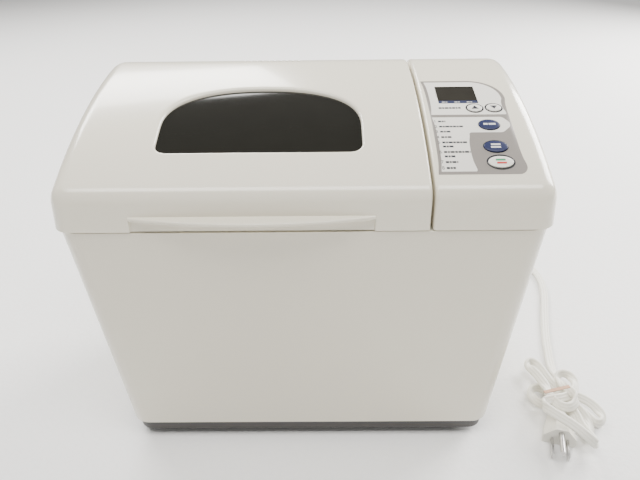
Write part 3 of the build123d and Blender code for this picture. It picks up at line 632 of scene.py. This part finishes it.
def make_lid():
    x_patch, y_patch = (-115 * MM, 55 * MM), (FRONT + 22 * MM, FRONT + 118 * MM)
    edges = [x + d for x in RECESS_X for d in (-0.3 * MM, 0.3 * MM)]
    grid = moulding_grid(LID_RIGHT, -HALF_WIDTH, [*x_patch, *edges], y_patch)
    for line in grid:
        for v in line:
            recessed = RECESS_X[0] < v.x < RECESS_X[1] and v.y < FRONT + 5 * MM
            if recessed and v.z < RECESS_TOP:
                v.y += RECESS_DEPTH
    hole = grid_range(grid, x_patch, y_patch)
    ring_verts, ring_faces = window_surround(patch_loop(grid, hole))
    lid = moulding_mesh("lid_moulding", grid, [hole], ring_verts, ring_faces)
    slots = [((x - 1.1 * MM, x + 1.1 * MM), (FRONT + 156 * MM, FRONT + 171 * MM), (0.25, 0.3))
             for x in (-52 * MM + 5.07 * MM * i for i in range(10))]
    cut(lid, boxes("slots", slots))
    reliefs = [((-0.2, 0.2), (HINGE_Y - 0.1 * MM, 0.2), (SEAM - 0.01, HINGE_Z - 1 * MM))]
    reliefs += [((x - LUG_START, x + LUG_START), (HINGE_Y - 8 * MM, 0.2), (SEAM - 0.01, HINGE_Z + 7.5 * MM))
                for x in HINGE_X]
    for relief in reliefs:
        cut(lid, boxes("relief", [relief]))
    sharpen(lid)
    lid = join("lid_moulding", [lid, handle_lip()] + hinge_lugs())
    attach(lid, "lid")
    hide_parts("lid_shell")


# ---- control housing, label and buttons ----
def rounded(corners, steps=8):
    """Points round a polygon whose corners are (x, y, radius), all in millimetres."""
    points = []
    for i, (x, y, radius) in enumerate(corners):
        here = Vector((x, y))
        before = (Vector(corners[i - 1][:2]) - here).normalized()
        after = (Vector(corners[(i + 1) % len(corners)][:2]) - here).normalized()
        half = math.acos(max(min(before.dot(after), 1), -1)) / 2
        if radius <= 0:
            points.append(here)
            continue
        centre = here + (before + after).normalized() * (radius / math.sin(half))
        start = here + before * (radius / math.tan(half)) - centre
        end = here + after * (radius / math.tan(half)) - centre
        turn = start.angle_signed(end)
        for k in range(steps + 1):
            points.append(centre + Matrix.Rotation(-turn * k / steps, 2) @ start)
    return points


def oval(x, y, width, height, grow=0.0, count=40):
    return [Vector((x + (width / 2 + grow) * math.cos(2 * math.pi * i / count),
                    y + (height / 2 + grow) * math.sin(2 * math.pi * i / count))) for i in range(count)]


def on_top(x, y, lift=0.0):
    """The point of the moulding's top over (x, y from the front), lifted along the normal, in mm."""
    ground = FRONT + y * MM
    point = Vector((ground, top_z(ground)))
    point += (point - TOP_CENTRE).normalized() * lift * MM
    return Vector((x * MM, point.x, point.y))


def inside(point, outline):
    """Whether a point lies inside a closed outline."""
    hit = False
    for a, b in zip(outline, outline[1:] + outline[:1]):
        if (a.y > point.y) != (b.y > point.y):
            if point.x < a.x + (b.x - a.x) * (point.y - a.y) / (b.y - a.y):
                hit = not hit
    return hit


def film(name, outline, holes, lift, material, step=2.5):
    """A thin printed layer on the moulding's top, with holes."""
    points, edges = [], []
    for loop in [outline] + holes:
        base = len(points)
        points += loop
        edges += [(base + i, base + (i + 1) % len(loop)) for i in range(len(loop))]
    xs, ys = [p.x for p in outline], [p.y for p in outline]
    for i in range(int((max(xs) - min(xs)) / step)):
        for k in range(int((max(ys) - min(ys)) / step)):
            place = Vector((min(xs) + (i + 0.5) * step, min(ys) + (k + 0.5) * step))
            if inside(place, outline) and not any(inside(place, hole) for hole in holes):
                points.append(place)
    flat, _, faces, *_ = delaunay_2d_cdt(points, edges, [], 0, 1e-4)
    kept = []
    for face in faces:
        middle = sum((flat[i] for i in face), Vector((0, 0))) / len(face)
        if inside(middle, outline) and not any(inside(middle, hole) for hole in holes):
            kept.append(tuple(face))
    obj = mesh_object(name, [on_top(p.x, p.y, lift) for p in flat], kept, FINISHES[material])
    if sum(face.normal.z for face in obj.data.polygons) < 0:
        obj.data.flip_normals()
    return obj


BUTTONS = {
    "up": (122.0, 76.4, 10.6, 8.6), "down": (135.6, 76.6, 10.6, 8.6), "select": (128.6, 58.3, 14.7, 10.4),
    "crust": (129.0, 38.1, 16.3, 10.4), "start": (129.9, 25.3, 16.6, 9.8),
}
BUTTON_GAP = 0.35
LCD = (97.3, 126.0, 82.3, 104.6)


def rectangle(x0, x1, y0, y1, radius=0.0):
    return rounded([(x0, y0, radius), (x1, y0, radius), (x1, y1, radius), (x0, y1, radius)])


def make_housing():
    left, middle, right = 92 * MM, 137 * MM, 142 * MM
    y_low, y_middle, y_high = FRONT + 19 * MM, FRONT + 90 * MM, FRONT + 106 * MM
    grid = moulding_grid(HOUSING_LEFT, HALF_WIDTH, [left], (y_low, y_middle, y_high))
    holes = [grid_range(grid, (left, right), (y_low, y_middle)),
             grid_range(grid, (left, middle), (y_middle, y_high))]
    housing = moulding_mesh("control_moulding", grid, holes)
    sharpen(housing)
    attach(housing, "housing")
    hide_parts("control_housing")


def bars(name, rows, height, lift, material):
    """Short printed blocks that stand for words: rows are (x0, x1, y) in millimetres."""
    pieces = []
    lengths = (2.1, 1.3, 2.7, 1.7)
    for x0, x1, y in rows:
        x, turn = x0, 0
        while x < x1 - 0.4:
            end = min(x + lengths[turn % 4], x1)
            block = rectangle(x, end, y - height / 2, y + height / 2)
            pieces.append(film(name, block, [], lift, material))
            x, turn = end + 0.45, turn + 1
    return pieces


def numeral(text, x, y, size, lift, material):
    """A printed figure, laid on the moulding's top."""
    data = bpy.data.curves.new("figure", "FONT")
    data.body = text
    data.size = size
    data.align_x, data.align_y = "CENTER", "CENTER"
    holder = add_object("figure", data)
    bpy.context.view_layer.update()
    mesh = bpy.data.meshes.new_from_object(holder.evaluated_get(bpy.context.evaluated_depsgraph_get()))
    bpy.data.objects.remove(holder)
    verts = [on_top(x + v.co.x, y + v.co.y, lift) for v in mesh.vertices]
    faces = [tuple(face.vertices) for face in mesh.polygons]
    return mesh_object("figure", verts, faces, FINISHES[material])


def make_label():
    holes = [oval(*BUTTONS[name], grow=BUTTON_GAP) for name in BUTTONS]
    lcd_hole = rectangle(*LCD)
    frame_line = rounded([(88.0, 16, 0), (146.4, 16, 6), (146.4, 113.3, 24), (88.0, 113.3, 0)], 14)
    upper = rounded([(90.2, 69.2, 0), (143.2, 69.2, 1), (144.2, 111.3, 21.5), (90.2, 111.3, 0)], 14)
    lower = rounded([(90.2, 18.2, 0), (113.5, 18.2, 1), (113.3, 51.0, 2), (137.0, 51.0, 5),
                     (144.8, 58.4, 5), (139.2, 66.4, 4), (90.2, 66.4, 0)])
    layers = [film("frame", frame_line, holes + [lcd_hole], 0.06, "label_film"),
              film("upper", upper, holes[:2] + [lcd_hole], 0.10, "label_cream"),
              film("lower", lower, [holes[2]], 0.10, "label_cream")]
    for name in ("up", "down", "start"):
        layers.append(film("ring", oval(*BUTTONS[name], grow=1.1), [oval(*BUTTONS[name], grow=BUTTON_GAP)],
                           0.14, "label_ink"))
    words = [(93.8, 98.9, 62.1), (93.8, 110.2, 56.9), (93.8, 101.4, 51.9), (93.8, 100.7, 46.8),
             (93.8, 110.8, 42.0), (93.8, 101.3, 38.4), (93.8, 111.4, 33.7), (93.8, 101.4, 30.1),
             (93.8, 102.0, 25.5), (93.8, 99.7, 20.9)]
    layers += bars("words", words, 1.5, 0.14, "label_ink")
    layers += bars("caption", [(96.4, 112.1, 76.8)], 1.7, 0.14, "label_ink")
    for i, y in enumerate((62.1, 56.9, 51.9, 46.8, 42.0, 33.7, 25.5, 20.9)):
        layers.append(numeral(str(i + 1), 91.6, y, 3.6, 0.14, "label_ink"))
    layers.append(film("band", rectangle(LCD[0] + 0.3, LCD[1] - 0.3, 82.6, 86.1), [], -0.22, "label_navy"))
    layers += bars("marks", [(100, 104.5, 84.3), (109, 113, 84.3), (118, 122.5, 84.3)], 0.9, -0.16,
                   "label_pale")
    label = join("printed_label", layers)
    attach(label, "housing")
    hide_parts("control_label")


def button_point(centre, up, x, y, lift):
    """A point on a button's own plane, in millimetres from its centre."""
    across = Vector((1, 0, 0))
    back = up.cross(across)
    return centre + (across * x + back * y + up * lift) * MM


def button_mark(name, centre, up, outline, material, lift=0.93):
    verts = [button_point(centre, up, x, y, lift) for x, y in outline]
    return mesh_object(name, verts, [tuple(range(len(verts)))], FINISHES[material], smooth=False)


def box_line(x0, x1, y0, y1):
    return [(x0, y0), (x1, y0), (x1, y1), (x0, y1)]


BUTTON_MARKS = {
    "up": [([(-2.5, -1.7), (2.5, -1.7), (0, 2.1)], "label_ink")],
    "down": [([(-2.5, 1.7), (0, -2.1), (2.5, 1.7)], "label_ink")],
    "select": [(box_line(-4.2, -1.2, -0.9, 0.9), "label_pale"),
               (box_line(-0.6, 4.2, -0.9, 0.9), "label_pale")],
    "crust": [(box_line(-3.2, 3.2, 0.5, 2.0), "label_pale"),
              (box_line(-3.6, 3.0, -2.0, -0.5), "label_pale")],
    "start": [(box_line(-3.4, 3.0, 0.5, 2.1), "mark_green"),
              (box_line(-3.0, 3.4, -2.1, -0.5), "mark_red")],
}


def make_button(name):
    x, y, width, height = BUTTONS[name]
    centre = on_top(x, y)
    up = (on_top(x, y, 1) - centre).normalized()
    rings = [(1, -3.6), (1, 0.25), (0.985, 0.44), (0.95, 0.57), (0.88, 0.66), (0.7, 0.77), (0.4, 0.86),
             (0.15, 0.89)]
    count = 40
    verts = []
    for scale, lift in rings:
        for i in range(count):
            turn = 2 * math.pi * i / count
            verts.append(button_point(centre, up, width / 2 * scale * math.cos(turn),
                                      height / 2 * scale * math.sin(turn), lift))
    faces = grid_faces(len(rings), count, closed=True) + [tuple(range(len(verts) - count, len(verts)))]
    faces.append(tuple(range(count)))
    dark = name in ("select", "crust")
    body = mesh_object("cap", verts, faces, FINISHES["button_navy" if dark else "button_white"])
    pieces = [button_mark("mark", centre, up, line, ink) for line, ink in BUTTON_MARKS[name]]
    button = join("key_" + name, [body] + pieces)
    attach(button, f"button_{name}_body")
    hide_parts("button_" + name)


# ---- floor and light ----
def make_stage():
    mesh = bpy.data.meshes.new("floor")
    mesh.from_pydata([(-3, -3, 0), (3, -3, 0), (3, 3, 0), (-3, 3, 0)], [], [(0, 1, 2, 3)])
    floor = add_object("floor", mesh)
    mesh.materials.append(finish("floor", (0.88, 0.875, 0.865), 0.7, spread=0.03, grain=220, bump=0.9))


WARM = (1, 0.985, 0.96)


def area_light(name, place, aim, size, power):
    data = bpy.data.lights.new(name, "AREA")
    data.shape = "RECTANGLE"
    data.size, data.size_y = size
    data.energy = power
    data.color = WARM
    lamp = bpy.data.objects.new(name, data)
    bpy.context.scene.collection.objects.link(lamp)
    lamp.location = place
    lamp.rotation_euler = (Vector(aim) - Vector(place)).to_track_quat("-Z", "Y").to_euler()


def make_light():
    world = bpy.data.worlds.new("room")
    bpy.context.scene.world = world
    world.use_nodes = True
    world.node_tree.nodes["Background"].inputs["Color"].default_value = (1, 0.99, 0.975, 1)
    world.node_tree.nodes["Background"].inputs["Strength"].default_value = 0.38
    area_light("window_light", (1.5, 1.1, 0.9), (0, 0, 0.15), (1.0, 1.0), 84)
    area_light("back_light", (-0.9, 1.5, 1.5), (0, -0.1, 0.1), (1.6, 0.6), 66)
    area_light("overhead", (0, -0.4, 1.7), (0, -0.1, 0.2), (1.8, 0.5), 40)


# ---- the whole model ----
def main():
    make_camera()
    dress_nodes()
    make_cord()
    make_lid()
    make_housing()
    make_label()
    for name in BUTTONS:
        make_button(name)
    make_stage()
    make_light()
    bpy.context.view_layer.update()


main()
